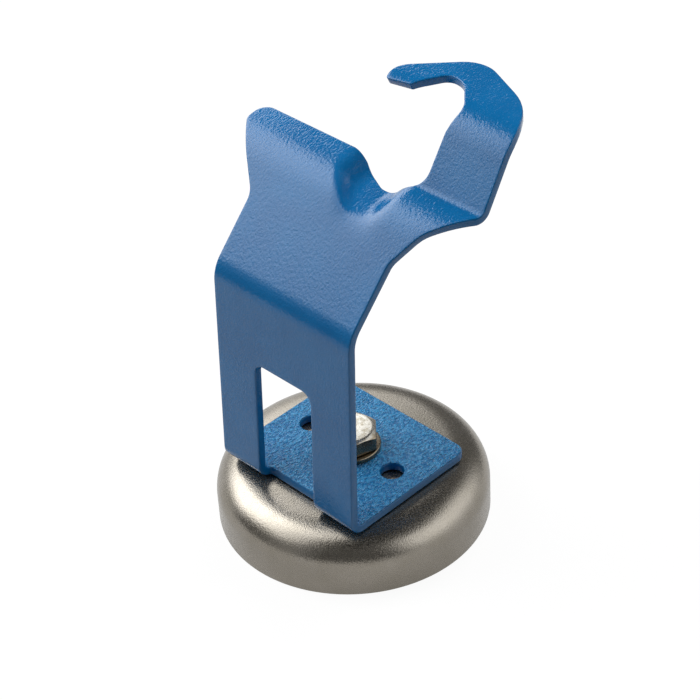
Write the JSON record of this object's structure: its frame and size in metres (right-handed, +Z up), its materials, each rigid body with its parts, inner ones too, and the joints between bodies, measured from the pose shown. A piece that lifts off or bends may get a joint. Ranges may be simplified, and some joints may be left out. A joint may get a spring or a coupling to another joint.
{
  "type": "magnetic torch holder",
  "caption": "Bent sheet-steel torch cradle with a pressed trough and an overhead hook, swivelling on a round pot magnet.",
  "frame": {"origin": "centre of the magnet's holding face", "axes": "+Z up along the bolt, away from the holding face; X along the width of the upright sheet; the upright's outer face looks towards -Y and the hook reaches towards +Y"},
  "size_m": [0.0839, 0.0852, 0.1319],
  "materials": {
    "magnet_cup": "satin nickel plate",
    "ferrite_ring": "sintered, matte",
    "centre_pole": "turned",
    "inner_filler_ring": "cast resin",
    "outer_filler_ring": "cast resin",
    "plain_washer": "bright zinc plate",
    "hex_bolt": "bright zinc plate",
    "torch_bracket": "fine textured powder coat"
  },
  "bodies": {
    "magnet_base": {"magnet_cup": "magnet_cup", "ferrite_ring": "ferrite_ring", "centre_pole": "centre_pole", "inner_filler_ring": "inner_filler_ring", "outer_filler_ring": "outer_filler_ring", "plain_washer": "plain_washer", "hex_bolt": "hex_bolt"},
    "bracket": {"torch_bracket": "torch_bracket"}
  },
  "joints": [
    {"name": "bracket_swivel", "type": "hinge", "parent": "magnet_base", "child": "bracket", "pos_m": [0, 0, 0.0183], "axis": [0, 0, 1], "continuous": true}
  ]
}
